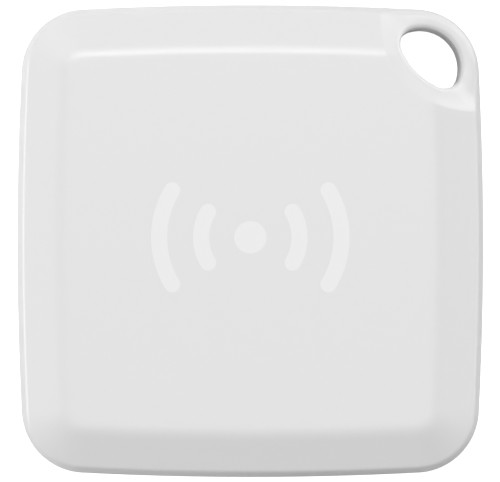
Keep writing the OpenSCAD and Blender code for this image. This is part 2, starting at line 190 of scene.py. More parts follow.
def eye_distance(x, y):
    """Distance from the eye's outline, outwards."""
    u, v = to_diagonal(x, y)
    v = abs(v)
    a = math.atan2(v - EYE_END_V, u - EYE_END_U)
    if CORNER_SIDE_A < a < MIDDLE_SIDE_A:
        return math.hypot(u - EYE_END_U, v - EYE_END_V) - EYE_END_R
    if -UP < a <= CORNER_SIDE_A:
        return math.hypot(u - CORNER_SIDE_U, v) - CORNER_SIDE_R
    return math.hypot(u - MIDDLE_SIDE_U, v) - MIDDLE_SIDE_R


def smoothstep(x):
    """A soft step from 0, at x = 0, to 1, at x = 1."""
    x = min(max(x, 0), 1)
    return x * x * (3 - 2 * x)


def body_height(inset):
    """The front face without its collar: a plateau, and a straight slope down to the edge."""
    x = inset - PLATEAU_INSET
    if x >= PLATEAU_ROUND:
        return TOP
    if x <= -PLATEAU_ROUND:
        return TOP + SLOPE * x
    return TOP - SLOPE * (PLATEAU_ROUND - x) ** 2 / (4 * PLATEAU_ROUND)


def collar_depth(x, y):
    """How far a point is inside the collar's circle."""
    return COLLAR_R - math.hypot(x - COLLAR_CENTRE[0], y - COLLAR_CENTRE[1])


def blended(a, b, share):
    """The value that share of the way from a to b."""
    return a + (b - a) * share


def collar_dip(x, y):
    """How far the collar lies below the slopes: gently on the diagonal, steeply at its ends."""
    depth = max(collar_depth(x, y), 0)
    share = smoothstep(abs(to_diagonal(x, y)[1]) / COLLAR_END_V)
    slope = blended(COLLAR_MIDDLE_SLOPE, COLLAR_SLOPE, share)
    blend = blended(COLLAR_MIDDLE_BLEND, COLLAR_BLEND, share)
    return COLLAR_BOTTOM * math.tanh(slope * depth * depth / (depth + blend) / COLLAR_BOTTOM)


def rim_share(x, y):
    """How much a point belongs to the rim, between the eye and the corner."""
    if collar_depth(x, y) <= 0:
        return 0
    return smoothstep((to_diagonal(x, y)[0] - RIM_START_U) / (RIM_FULL_U - RIM_START_U))


def front_height(x, y):
    """The front face: plateau, slopes and collar, and a nearly level rim round the eye."""
    inset = inset_of(x, y)
    body = body_height(inset)
    if collar_depth(x, y) <= 0:
        return body
    rim = RIM_Z - RIM_SLOPE * (inset - RIM_EDGE_INSET)
    return blended(body - collar_dip(x, y), rim, rim_share(x, y))


# ---- Meshes
# Vertices closer than SEAM_M are one, and edges shorter than SLIVER_M go; both are in metres
SEAM_M = 2e-7
SLIVER_M = 1e-8
SHEET_TOLERANCE = 1e-5
# Edges that turn more than this stay sharp
SHELL_SHARP = math.radians(32)
ICON_SHARP = math.radians(35)
SOLDER_SHARP = math.radians(25)


class Shape:
    """Vertices and faces of one piece, gathered ring by ring and sheet by sheet."""

    def __init__(self):
        self.verts = []
        self.faces = []

    def add(self, points):
        """Keeps the points, and gives their numbers."""
        start = len(self.verts)
        self.verts.extend(points)
        return range(start, len(self.verts))

    def strip(self, rings):
        """Quads between each ring and the next; the rings are closed and equally long."""
        ids = [self.add(ring) for ring in rings]
        for a, b in zip(ids, ids[1:]):
            for i in range(len(a)):
                j = (i + 1) % len(a)
                self.faces.append((a[i], a[j], b[j], b[i]))

    def sheet(self, outer, holes, height, lines=(), points=()):
        """Triangles over the area inside outer and outside holes, lifted to height(x, y)."""
        flat, edges = [], []
        for loop in [outer, *holes]:
            start = len(flat)
            flat.extend(Vector(p[:2]) for p in loop)
            edges.extend((start + i, start + (i + 1) % len(loop)) for i in range(len(loop)))
        for line in lines:
            start = len(flat)
            flat.extend(Vector(p[:2]) for p in line)
            edges.extend((start + i, start + i + 1) for i in range(len(line) - 1))
        flat.extend(Vector(p[:2]) for p in points)
        verts, _, faces, _, _, _ = delaunay_2d_cdt(flat, edges, [], 0, SHEET_TOLERANCE, False)
        xy = np.array([tuple(v) for v in verts])
        middles = xy[np.array([tuple(f) for f in faces])].mean(axis=1)
        keep = within(middles, outer)
        for hole in holes:
            keep &= ~within(middles, hole)
        ids = self.add([(x, y, height(x, y)) for x, y in xy])
        self.faces.extend(tuple(ids[i] for i in f) for f, k in zip(faces, keep) if k)

    def build(self, name, sharp_angle):
        """The closed mesh as an object, smooth but for edges sharper than sharp_angle.

        Rings and sheets meet in pairs of vertices, which are merged here."""
        mesh = bpy.data.meshes.new(name)
        mesh.from_pydata([[c * MM for c in v] for v in self.verts], [], self.faces)
        bm = bmesh.new()
        bm.from_mesh(mesh)
        bmesh.ops.remove_doubles(bm, verts=bm.verts, dist=SEAM_M)
        bmesh.ops.dissolve_degenerate(bm, edges=bm.edges, dist=SLIVER_M)
        loose = [v for v in bm.verts if not v.link_faces]
        bmesh.ops.delete(bm, geom=loose, context="VERTS")
        bmesh.ops.recalc_face_normals(bm, faces=bm.faces)
        for face in bm.faces:
            face.smooth = True
        for edge in bm.edges:
            edge.smooth = edge.calc_face_angle(0) < sharp_angle
        open_edges = sum(1 for edge in bm.edges if len(edge.link_faces) != 2)
        print(name, len(bm.faces), "faces,", open_edges, "open edges")
        bm.to_mesh(mesh)
        bm.free()
        obj = bpy.data.objects.new(name, mesh)
        bpy.context.scene.collection.objects.link(obj)
        return obj


def within(points, loop):
    """Which points lie inside a closed loop."""
    x, y = points[:, 0], points[:, 1]
    inside = np.zeros(len(points), bool)
    for i in range(len(loop)):
        x0, y0 = loop[i - 1][:2]
        x1, y1 = loop[i][:2]
        if y0 == y1:
            continue
        crosses = (y0 > y) != (y1 > y)
        inside ^= crosses & (x < (x1 - x0) * (y - y0) / (y1 - y0) + x0)
    return inside


def at_height(loop, z):
    """A loop's points, all at one height."""
    return [(p[0], p[1], z) for p in loop]


def circle(x, y, r, count):
    """count points round a circle."""
    return [
        (x + r * math.cos(ROUND * i / count), y + r * math.sin(ROUND * i / count))
        for i in range(count)
    ]


def spread(a, b, count):
    """count evenly spaced values from a up to, but without, b."""
    return [a + (b - a) * i / count for i in range(count)]


# Where the outline is sampled: finer in the corners, beside the collar and at the pry slot's ends
COLLAR_T = (0.72, 2.28)
PRY_END_T = [(6.39, 6.42), (6.58, 6.61)]
OUTLINE_T = sorted({
    *(t for k in (0, 2, 4, 6) for t in spread(k, k + 1, 50)),
    *(t for k in (3, 5, 7) for t in spread(k, k + 1, 40)),
    *spread(*COLLAR_T, 220),
    *(t for ends in PRY_END_T for t in spread(*ends, 10)),
})
EYE_T = [t for k in range(4) for t in spread(k, k + 1, 44)]


def outline_ring(inset, z=0.0):
    """The whole outline at one inset and height."""
    return [(*outline(t, inset), z) for t in OUTLINE_T]


def eye_ring(grow, z):
    """The eye's whole outline, grown, at one height."""
    return [(*eye(t, grow), z) for t in EYE_T]


def corner_distance(x, y):
    """Distance from the corner that the eye takes up, out past the outline."""
    u, v = to_diagonal(x, y)
    return abs(v) - EYE_HALF_LENGTH if u > EYE_END_U else eye_distance(x, y)


# On the outline: the corner with the eye, and how far to each side of it the search below goes
CORNER_T = 1.5
CORNER_SPAN = 1.45
# The end of a chain's last arc is taken this little early, since t starts over there
JUST_BEFORE = 1e-7


def crossing(inset, grow, t_in, t_out):
    """Where the inset outline leaves the eye's corner, on its way from t_in to t_out."""
    for _ in range(40):
        t = (t_in + t_out) / 2
        if corner_distance(*outline(t, inset)) < grow:
            t_in = t
        else:
            t_out = t
    return t_out


def resampled(path, count):
    """count points evenly spaced along an open path, without its last point."""
    path = np.array(path)
    along = np.concatenate([[0], np.cumsum(np.hypot(*np.diff(path, axis=0).T))])
    at = np.linspace(0, along[-1], count + 1)[:-1]
    return list(zip(np.interp(at, along, path[:, 0]), np.interp(at, along, path[:, 1])))


def turn_angle(x, y, side):
    """The angle at which the eye's end arc on that side, 1 or -1, leads on to the point."""
    u, v = to_diagonal(x, y)
    if u > EYE_END_U:
        return UP if side > 0 else DOWN
    return math.atan2(v - side * EYE_END_V, u - EYE_END_U) % ROUND


def inside_ring(inset, grow, height):
    """The outline of the sealed inside: inset from the outside, and grow away from the eye."""
    start = crossing(inset, grow, CORNER_T, CORNER_T + CORNER_SPAN)
    end = crossing(inset, grow, CORNER_T, CORNER_T - CORNER_SPAN)
    first, last = outline(start, inset), outline(end, inset)
    lower, upper = turn_angle(*last, -1), turn_angle(*first, 1)
    bends = [
        (EYE_END_U, -EYE_END_V, EYE_END_R, lower, ROUND - MIDDLE_SIDE_A),
        (MIDDLE_SIDE_U, 0, MIDDLE_SIDE_R, ROUND - MIDDLE_SIDE_A, MIDDLE_SIDE_A),
        (EYE_END_U, EYE_END_V, EYE_END_R, MIDDLE_SIDE_A, upper),
    ]
    path = [last]
    for k in range(len(bends)):
        path += [from_diagonal(*on_arc(bends, t, grow)) for t in spread(k, k + 1, 40)]
    last_t = len(bends) - JUST_BEFORE
    path += [from_diagonal(*on_arc(bends, last_t, grow)), first]
    around = spread(start, end + len(OUTLINE_ARCS), 320)
    points = [outline(t, inset) for t in around] + resampled(path, 84)
    return [(x, y, height(x, y)) for x, y in points]


def clipped(loop, allowed):
    """The runs of a closed loop whose points are all allowed."""
    runs, run = [], []
    for p in [*loop, loop[0]]:
        if allowed(p[0], p[1]):
            run.append(p)
        elif run:
            runs.append(run)
            run = []
    runs.append(run)
    return [r for r in runs if len(r) > 1]


# ---- Icon
def icon_arc(r, facing):
    """One arc of the icon: its outer radius is r, and both its ends are round."""
    half = ICON_STROKE / 2
    inner = r - ICON_STROKE
    a0, a1 = facing - ICON_SPREAD, facing + ICON_SPREAD

    def cap(at, start, end):
        x, y = (r - half) * math.cos(at), (r - half) * math.sin(at)
        return [(x + half * math.cos(a), y + half * math.sin(a)) for a in spread(start, end, 20)]

    path = [(r * math.cos(a), r * math.sin(a)) for a in spread(a0, a1, 72)]
    path += cap(a1, a1, a1 + math.pi)
    path += [(inner * math.cos(a), inner * math.sin(a)) for a in spread(a1, a0, 60)]
    path += cap(a0, a0 - math.pi, a0)
    return [(x + ICON_CENTRE[0], y + ICON_CENTRE[1]) for x, y in path]


def icon_loops():
    """The icon's outlines: a dot, and two arcs on each side of it."""
    arcs = [icon_arc(r, facing) for facing in (0, math.pi) for r in (ICON_R, ICON_R - ICON_STEP)]
    return [circle(*ICON_CENTRE, ICON_STROKE, 96), *arcs]


def icon_piece():
    """The inlay: each loop of the icon as a thin closed plate, flush with the plateau."""
    shape = Shape()
    floor = TOP - ICON_DEPTH
    for loop in icon_loops():
        shape.strip([at_height(loop, floor), at_height(loop, TOP)])
        shape.sheet(loop, [], lambda x, y: floor)
        shape.sheet(loop, [], lambda x, y: TOP)
    return shape.build("icon_inlay", ICON_SHARP)


# ---- Front cover
CAVITY_INSET = 1.3
CAVITY_DRAFT = 0.15
EYE_WALL = 1.05
CEILING = TOP - 1
CEILING_RUN_Z = 5.7
CEILING_INSET = 3.9
BOARD_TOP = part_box("circuit_board")[1].z / MM
BOSS_R = 1.6
SCREW_HOLE_R = 0.7
SCREW_HOLE_DEPTH = 0.9
SCREWS = [(-13.2, 13.4), (-13.2, -13.4), (13.2, -13.4)]
NUB = (0, 2.4)
NUB_R = 1.2
NUB_BOTTOM = 6.6
BREAK = 0.05
# The covers' broken edges where they meet: inset, and distance from the parting face
SKIRT_EDGE = [(0.0, 0.07), (0.012, 0.025), (0.045, 0.0)]
TRAY_EDGE = [(0.0, 0.05), (0.012, 0.015), (0.045, 0.0)]
EYE_EDGE = [(0.0, 0.03), (0.03, 0.0)]

# Insets of the lines that the front face's triangles follow, close together where it curves, and
# depths of such lines in and round the collar's circle
FACE_LINES = [
    0.9, 1.0, 1.3, 1.7, 2.1, 2.5, 2.8, 2.95,
    *(PLATEAU_INSET + PLATEAU_ROUND * i / 7 for i in range(-7, 8)),
    4.5,
]
COLLAR_LINES = [-0.44, -0.28, -0.16, -0.06, 0, 0.06, 0.12, 0.18, 0.26, 0.36, 0.48, 0.62, 0.8, 1]
# A lattice of points, in a square over the corner, fills the rest of the collar
LATTICE_START = 10.2
LATTICE_STEP = 0.19
LATTICE_COUNT = 50
LATTICE_DEPTH = 1.1
# Lines and lattice stay this far inside the outline, off the eye's rounded edge, off the collar's
# circle and, on the ceiling, off the bosses and the eye's wall
LINE_INSET, LATTICE_INSET = 0.88, 0.93
LINE_EYE_GAP, LATTICE_EYE_GAP = 0.04, 0.07
COLLAR_GAP = 0.5
BOSS_GAP = 0.1


def eye_round(t):
    """Radius of the eye's front edge: larger on the side of the corner."""
    u = to_diagonal(*eye(t, 0))[0]
    share = smoothstep(u / EYE_W + 0.5)
    return EYE_ROUND_MIDDLE + (EYE_ROUND_CORNER - EYE_ROUND_MIDDLE) * share


def eye_edge_ring(turn):
    """The eye's rounded front edge, at turn from its face, 0, to its wall, 90 degrees."""
    ring = []
    for t in EYE_T:
        r = eye_round(t)
        x0, y0 = eye(t, r)
        x, y = eye(t, r * (1 - math.sin(turn)))
        ring.append((x, y, front_height(x0, y0) - r * (1 - math.cos(turn))))
    return ring


def edge_inset(t, turn):
    """Inset of the rounded outer edge where it is turned that far from level."""
    side = blended(EDGE_INSET, RIM_EDGE_INSET, rim_share(*outline(t, EDGE_INSET)))
    return side + EDGE_R * (math.sin(SIDE_TURN) - math.sin(turn))


def edge_start(t):
    """How far the face slopes where the rounded outer edge begins."""
    step = 0.1
    inset = edge_inset(t, math.atan(SLOPE))
    rise = front_height(*outline(t, inset + step)) - front_height(*outline(t, inset))
    return math.atan(rise / step)


def edge_ring(share):
    """The front face's rounded outer edge, from the face, 0, to the side wall, 1."""
    ring = []
    for t in OUTLINE_T:
        start = edge_start(t)
        turn = start + (SIDE_TURN - start) * share
        x, y = outline(t, edge_inset(t, turn))
        drop = EDGE_R * (math.cos(start) - math.cos(turn))
        ring.append((x, y, front_height(*outline(t, edge_inset(t, start))) - drop))
    return ring


def ceiling_height(x, y):
    """The front wall's inner face: it rises from the side walls to a flat ceiling."""
    start = CAVITY_INSET + CAVITY_DRAFT
    share = (inset_of(x, y) - start) / (CEILING_INSET - start)
    return CEILING_RUN_Z + (CEILING - CEILING_RUN_Z) * min(max(share, 0), 1)


def front_top_lines():
    """Lines that the front face's triangles follow: along its outline, and round the collar."""
    def clear_of_edges(x, y):
        clear_of_eye = eye_distance(x, y) > EYE_ROUND_CORNER + LINE_EYE_GAP
        return inset_of(x, y) > LINE_INSET and clear_of_eye

    def clear_of_collar(x, y):
        return collar_depth(x, y) < -COLLAR_GAP

    lines = []
    for inset in FACE_LINES:
        lines += clipped(outline_ring(inset), clear_of_collar)
    for depth in COLLAR_LINES:
        lines += clipped(circle(*COLLAR_CENTRE, COLLAR_R - depth, 420), clear_of_edges)
    return lines


def collar_points():
    """A fine lattice over the collar's face."""
    points = []
    for i in range(LATTICE_COUNT):
        for j in range(LATTICE_COUNT):
            x = LATTICE_START + LATTICE_STEP * (i + 0.5 * (j % 2))
            y = LATTICE_START + LATTICE_STEP * j
            inside = inset_of(x, y) > LATTICE_INSET and collar_depth(x, y) > LATTICE_DEPTH
            if inside and eye_distance(x, y) > EYE_ROUND_CORNER + LATTICE_EYE_GAP:
                points.append((x, y))
    return points


def front_outside(shape):
    """Side walls, the eye's wall and the front face; returns the two walls' lowest rings."""
    edge = [edge_ring(i / 10) for i in range(11)]
    foot, *hem = [outline_ring(inset, SKIRT + up) for inset, up in SKIRT_EDGE]
    sides = []
    for share in (0.25, 0.5, 0.75):
        sides.append([tuple(Vector(a).lerp(Vector(b), share)) for a, b in zip(edge[-1], foot)])
    shape.strip([*edge, *sides, foot, *hem])
    eye_rings = [eye_edge_ring(UP * i / 8) for i in range(9)]
    eye_rings += [eye_ring(grow, SKIRT + up) for grow, up in EYE_EDGE]
    shape.strip(eye_rings)
    loops = icon_loops()
    shape.sheet(edge[0], [eye_rings[0], *loops], front_height, front_top_lines(), collar_points())
    for loop in loops:
        shape.strip([at_height(loop, TOP), at_height(loop, TOP - ICON_DEPTH)])
        shape.sheet(loop, [], lambda x, y: TOP - ICON_DEPTH)
    return hem[-1], eye_rings[-1]


def boss(shape, place, root):
    """A screw boss under the ceiling, with its blind hole; root is where it meets the ceiling."""
    hole = circle(*place, SCREW_HOLE_R, 64)
    hole_end = BOARD_TOP + SCREW_HOLE_DEPTH
    shape.strip([
        [(x, y, ceiling_height(x, y)) for x, y in root],
        at_height(circle(*place, BOSS_R, 64), BOARD_TOP + BREAK),
        at_height(circle(*place, BOSS_R - BREAK, 64), BOARD_TOP),
        at_height(circle(*place, SCREW_HOLE_R + BREAK, 64), BOARD_TOP),
        at_height(hole, BOARD_TOP + BREAK),
        at_height(hole, hole_end),
    ])
    shape.sheet(hole, [], lambda x, y: hole_end)


def button_nub(shape, root):
    """The nub that presses the switch; root is where it meets the ceiling."""
    tip = circle(*NUB, NUB_R - BREAK, 48)
    shape.strip([
        at_height(root, CEILING),
        at_height(circle(*NUB, NUB_R, 48), NUB_BOTTOM + BREAK),
        at_height(tip, NUB_BOTTOM),
    ])
    shape.sheet(tip, [], lambda x, y: NUB_BOTTOM)


def front_inside(shape, hem, eye_hem):
    """The parting face, the cavity, and the bosses and the nub on its ceiling."""
    mouth = inside_ring(CAVITY_INSET, EYE_WALL, lambda x, y: SKIRT)
    shape.sheet(hem, [eye_hem, mouth], lambda x, y: SKIRT)
    cove = inside_ring(CAVITY_INSET + CAVITY_DRAFT, EYE_WALL, ceiling_height)
    shape.strip([mouth, cove])
    boss_roots = [circle(*place, BOSS_R + BREAK, 64) for place in SCREWS]
    nub_root = circle(*NUB, NUB_R + BREAK, 48)

    def allowed(x, y):
        apart = min(math.hypot(x - px, y - py) for px, py in SCREWS) - BOSS_R
        return min(corner_distance(x, y) - EYE_WALL, apart) > BOSS_GAP

    lines = clipped(outline_ring(CEILING_INSET), allowed)
    shape.sheet(cove, [*boss_roots, nub_root], ceiling_height, lines)
    for place, root in zip(SCREWS, boss_roots):
        boss(shape, place, root)
    button_nub(shape, nub_root)


def front_piece():
    """The front cover as one closed mesh."""
    shape = Shape()
    hem, eye_hem = front_outside(shape)
    front_inside(shape, hem, eye_hem)
    return shape.build("front_shell", SHELL_SHARP)


# ---- Rear cover
PARTING = 3.12
WALL = 1
# The seal's groove and the lip beside it, as distances from the outline and from the eye
GROOVE_INSET, GROOVE_EYE = 0.85, 0.6
LIP_INSET, LIP_EYE = 1.38, 1.13
GROOVE_FLOOR = PARTING - 0.37
LIP_TOP = REAR_HI.z
LIP_T = 0.82
# The lip's rounded edges, as distance inwards and drop, and the fillet at its foot
LIP_EDGE = [(0, 0.12), (0.04, 0.03), (0.12, 0)]
LIP_FILLET = [(0, 0.2), (0.06, 0.06), (0.2, 0)]
# The slot for prying the covers apart, and the short rounds at its floor
PRY_HALF_W = 3
PRY_DEPTH = 0.7
PRY_RAMP = 0.2
PRY_FLOOR = PARTING - 0.8
PRY_BELOW, PRY_ABOVE = 0.03, 0.04
# The back's rounded foot: FOOT_R high, FOOT_REACH wide, turning to FOOT_TURN
FOOT_R = 0.95
FOOT_REACH = 0.915
FOOT_TURN = math.radians(82)
SIDE_INSET, SIDE_Z = 0.02, 1.5
EYE_FOOT_R = 0.5
# The cell's pocket, with a notch for the side contact
CELL_LO, CELL_HI = (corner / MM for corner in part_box("cell_can"))
CELL = ((CELL_LO.x + CELL_HI.x) / 2, (CELL_LO.y + CELL_HI.y) / 2)
POCKET_TOP = 3.6
POCKET_R, POCKET_T = 10.25, 0.8
POCKET_EDGE = 0.08
POCKET_LEAD_IN = 0.15
POCKET_START_A = 0.013
NOTCH_FLOOR = 1.78
NOTCH_HALF_W = 2.5
NOTCH_SIDE_A = 0.002


def pry_ring(inset, z):
    """The outline, cut back where the pry slot is."""
    ring = []
    for t in OUTLINE_T:
        x, y = outline(t, inset)
        cut = 0
        if y < 0:
            cut = smoothstep((PRY_HALF_W - abs(x)) / PRY_RAMP)
        x, y = outline(t, inset + (PRY_DEPTH - inset) * cut)
        ring.append((x, y, z))
    return ring


def rear_outside(shape):
    """The foot, the side walls with the pry slot, and the eye's wall; returns their top rings."""
    foot = []
    for i in range(13):
        turn = FOOT_TURN * i / 12
        inset = FOOT_R - FOOT_REACH * math.sin(turn)
        foot.append(outline_ring(inset, FOOT_R * (1 - math.cos(turn))))
    walls = [outline_ring(SIDE_INSET, SIDE_Z), outline_ring(0.0, PRY_FLOOR - PRY_BELOW)]
    slot = [outline_ring(0.0, PRY_FLOOR), pry_ring(0.0, PRY_FLOOR + PRY_ABOVE)]
    slot += [pry_ring(inset, PARTING - down) for inset, down in TRAY_EDGE]
    shape.strip([*foot, *walls, *slot])
    eye_rings = []
    for i in range(9):
        turn = UP * i / 8
        grow = EYE_FOOT_R * (1 - math.sin(turn))
        eye_rings.append(eye_ring(grow, EYE_FOOT_R * (1 - math.cos(turn))))
    eye_rings += [eye_ring(grow, PARTING - down) for grow, down in EYE_EDGE]
    shape.strip(eye_rings)
    shape.sheet(foot[0], [eye_rings[0]], lambda x, y: 0.0)
    return slot[-1], eye_rings[-1]


def pocket_ring(r, top):
    """One ring of the cell's pocket; its top drops to a notch where the side contact passes."""
    ring = []
    notch = math.asin(NOTCH_HALF_W / POCKET_R)
    turns = [UP - notch - NOTCH_SIDE_A, UP - notch, UP + notch, UP + notch + NOTCH_SIDE_A]
    for a in sorted([*spread(POCKET_START_A, ROUND + POCKET_START_A, 180), *turns]):
        in_notch = abs(a - UP) < notch + NOTCH_SIDE_A / 2
        z = min(top, NOTCH_FLOOR) if in_notch else top
        ring.append((CELL[0] + r * math.cos(a), CELL[1] + r * math.sin(a), z))
    return ring


def pocket(shape):
    """The cell's pocket, standing on the floor; returns its outer and its inner foot."""
    outer, inner = POCKET_R + POCKET_T, POCKET_R
    profile = [
        (outer, WALL), (outer, POCKET_TOP - POCKET_EDGE), (outer - POCKET_EDGE, POCKET_TOP),
        (inner + POCKET_LEAD_IN, POCKET_TOP), (inner, POCKET_TOP - POCKET_LEAD_IN), (inner, WALL),
    ]
    rings = [pocket_ring(r, z) for r, z in profile]
    shape.strip(rings)
    return rings[0], rings[-1]


def rear_inside(shape, hem, eye_hem):
    """The parting face, the seal's groove, the lip, the pocket and the floor."""
    def level(inwards, z):
        return inside_ring(LIP_INSET + inwards, LIP_EYE + inwards, lambda x, y: z)

    groove = inside_ring(GROOVE_INSET, GROOVE_EYE, lambda x, y: PARTING)
    shape.sheet(hem, [eye_hem, groove], lambda x, y: PARTING)
    groove_foot = inside_ring(GROOVE_INSET, GROOVE_EYE, lambda x, y: GROOVE_FLOOR)
    lip = [level(inwards, LIP_TOP - drop) for inwards, drop in LIP_EDGE]
    lip += [level(LIP_T - inwards, LIP_TOP - drop) for inwards, drop in reversed(LIP_EDGE)]
    fillet = [level(LIP_T + inwards, WALL + up) for inwards, up in LIP_FILLET]
    shape.strip([groove, groove_foot, level(0, GROOVE_FLOOR), *lip, *fillet])
    pocket_foot, pocket_floor = pocket(shape)
    shape.sheet(fillet[-1], [pocket_foot], lambda x, y: WALL)
    shape.sheet(pocket_floor, [], lambda x, y: WALL)


def rear_piece():
    """The rear cover as one closed mesh."""
    shape = Shape()
    hem, eye_hem = rear_outside(shape)
    rear_inside(shape, hem, eye_hem)
    return shape.build("rear_shell", SHELL_SHARP)


# ---- Soldered parts
TIN_SKIN = 0.012
FILLET_REACH = 0.22
LAND_HALF_SHARE = 0.28


def solid_boxes(node):
    """The corners of each separate solid in a CAD node, in millimetres."""
    bm = bmesh.new()
    bm.from_mesh(frame["nodes"][node].data)
    bmesh.ops.remove_doubles(bm, verts=bm.verts, dist=SEAM_M)
    left = set(bm.verts)
    boxes = []
    while left:
        group, edge = set(), [next(iter(left))]
        while edge:
            vert = edge.pop()
            if vert in group:
                continue
            group.add(vert)
            edge += [e.other_vert(vert) for e in vert.link_edges]
        left -= group
        lo = [min(v.co[k] for v in group) / MM for k in range(3)]
        hi = [max(v.co[k] for v in group) / MM for k in range(3)]
        boxes.append((lo, hi))
    bm.free()
    return sorted(boxes)


def extrude_profile(shape, profile, at, along, across, half):
    """A prism: profile points are (distance along, height), and it is 2 * half wide across."""
    sides = []
    for side in (-half, half):
        sides.append([
            tuple(Vector(at) + s * Vector(along) + side * Vector(across) + Vector((0, 0, z)))
            for s, z in profile
        ])
    shape.strip(sides)
    for ring in sides:
        shape.faces.append(tuple(shape.add(ring)))


def tinned_ends(name, node, length):
    """Tinned end caps with solder fillets, on both ends of each chip in a node."""
    shape = Shape()
    for lo, hi in solid_boxes(node):
        size = [b - a for a, b in zip(lo, hi)]
        k = 0 if size[0] > size[1] else 1
        along, across = ((1, 0, 0), (0, 1, 0)) if k == 0 else ((0, 1, 0), (1, 0, 0))
        h = size[2]
        reach = min(FILLET_REACH, h / 2)
        cap = [(-length, 0), (-length, h + TIN_SKIN), (TIN_SKIN / 2, h + TIN_SKIN)]
        hollow = [(TIN_SKIN, h * 0.75), (reach * 0.25, h * 0.35), (reach * 0.6, h * 0.12)]
        toe = [(reach, 0.02), (reach, 0)]
        for sign, end in ((1, hi), (-1, lo)):
            at = [(a + b) / 2 for a, b in zip(lo, hi)]
            at[k], at[2] = end[k], lo[2]
            out = tuple(sign * c for c in along)
            half = size[1 - k] / 2 + TIN_SKIN
            extrude_profile(shape, cap + hollow + toe, at, out, across, half)
    return shape.build(name, SOLDER_SHARP)


def chip_pads(count, pitch):
    """The solder lands that show along the four edges of the radio chip."""
    shape = Shape()
    lo, hi = solid_boxes("bluetooth_chip")[0]
    cx, cy = (lo[0] + hi[0]) / 2, (lo[1] + hi[1]) / 2
    half = LAND_HALF_SHARE * pitch
    under_chip = [(-0.3, 0), (-0.3, 0.1), (0.02, 0.1)]
    beside_chip = [(0.1, 0.05), (0.18, 0.015), (0.18, 0)]
    profile = under_chip + beside_chip
    for along, reach in (((1, 0), hi[0] - cx), ((0, 1), hi[1] - cy)):
        for sign in (-1, 1):
            for i in range(count):
                offset = (i - (count - 1) / 2) * pitch
                x = cx + sign * reach * along[0] + offset * along[1]
                y = cy + sign * reach * along[1] + offset * along[0]
                out, across = (sign * along[0], sign * along[1], 0), (along[1], along[0], 0)
                extrude_profile(shape, profile, (x, y, lo[2]), out, across, half)
    return shape.build("chip_lands", SOLDER_SHARP)


# ---- Materials
# A Mix node's sockets: its share, its two colours and their mix, and its two numbers and theirs
SHARE, COLOUR_A, COLOUR_B, COLOUR_OUT = 0, 6, 7, 2
NUMBER_A, NUMBER_B, NUMBER_OUT = 2, 3, 0
# A finish's mottle is this many times coarser than its grain, and its roughness varies this much
MOTTLE_GRAINS = 6
ROUGH_SPREAD = 0.1
# The shares of the board's patches that have traces, and whose traces follow one axis
SHARE_TRACED = 0.6
SHARE_ALONG_X = 0.5
BEVEL = 0.03


def node_material(name):
    """A material with its node tree and its shader."""
    material = bpy.data.materials.new(name)
    material.use_nodes = True
    tree = material.node_tree
    return material, tree, tree.nodes["Principled BSDF"]


def noise_texture(tree, size_mm, detail, stretch=(1, 1, 1)):
    """A noise whose features are about size_mm across, longer along the axes stretch names."""
    place = tree.nodes.new("ShaderNodeTexCoord")
    mapping = tree.nodes.new("ShaderNodeMapping")
    mapping.inputs["Scale"].default_value = [1 / s for s in stretch]
    texture = tree.nodes.new("ShaderNodeTexNoise")
    texture.inputs["Scale"].default_value = 1 / (size_mm * MM)
    texture.inputs["Detail"].default_value = detail
    tree.links.new(place.outputs["Object"], mapping.inputs["Vector"])
    tree.links.new(mapping.outputs["Vector"], texture.inputs["Vector"])
    return texture


def colour_mix(tree):
    """A node that mixes two colours."""
    mix = tree.nodes.new("ShaderNodeMix")
    mix.data_type = "RGBA"
    return mix


def surface(name, colour, rough, tint=0.03, grain=0.4, bump=0.004, stretch=(1, 1, 1), **sockets):
    """A finish whose colour, roughness and relief all vary a little over the surface."""
    material, tree, shader = node_material(name)
    mottle = noise_texture(tree, grain * MOTTLE_GRAINS, 3, stretch)
    mix = colour_mix(tree)
    mix.inputs[COLOUR_A].default_value = [*(c * (1 - tint) for c in colour), 1]
    mix.inputs[COLOUR_B].default_value = [*(min(c * (1 + tint), 1) for c in colour), 1]
    tree.links.new(mottle.outputs["Fac"], mix.inputs[SHARE])
    tree.links.new(mix.outputs[COLOUR_OUT], shader.inputs["Base Color"])
    fine = noise_texture(tree, grain, 4, stretch)
    rough_range = tree.nodes.new("ShaderNodeMapRange")
    rough_range.inputs["To Min"].default_value = rough * (1 - ROUGH_SPREAD)
    rough_range.inputs["To Max"].default_value = min(rough * (1 + ROUGH_SPREAD), 1)
    tree.links.new(fine.outputs["Fac"], rough_range.inputs["Value"])
    tree.links.new(rough_range.outputs["Result"], shader.inputs["Roughness"])
    relief = tree.nodes.new("ShaderNodeBump")
    relief.inputs["Strength"].default_value = 1
    relief.inputs["Distance"].default_value = bump * MM
    tree.links.new(fine.outputs["Fac"], relief.inputs["Height"])
    tree.links.new(relief.outputs["Normal"], shader.inputs["Normal"])
    for socket, value in sockets.items():
        shader.inputs[socket.replace("_", " ")].default_value = value
    return material


def math_node(tree, operation, value, number):
    """A node that works out one number from another."""
    node = tree.nodes.new("ShaderNodeMath")
    node.operation = operation
    tree.links.new(value, node.inputs[0])
    node.inputs[1].default_value = number
    return node.outputs[0]


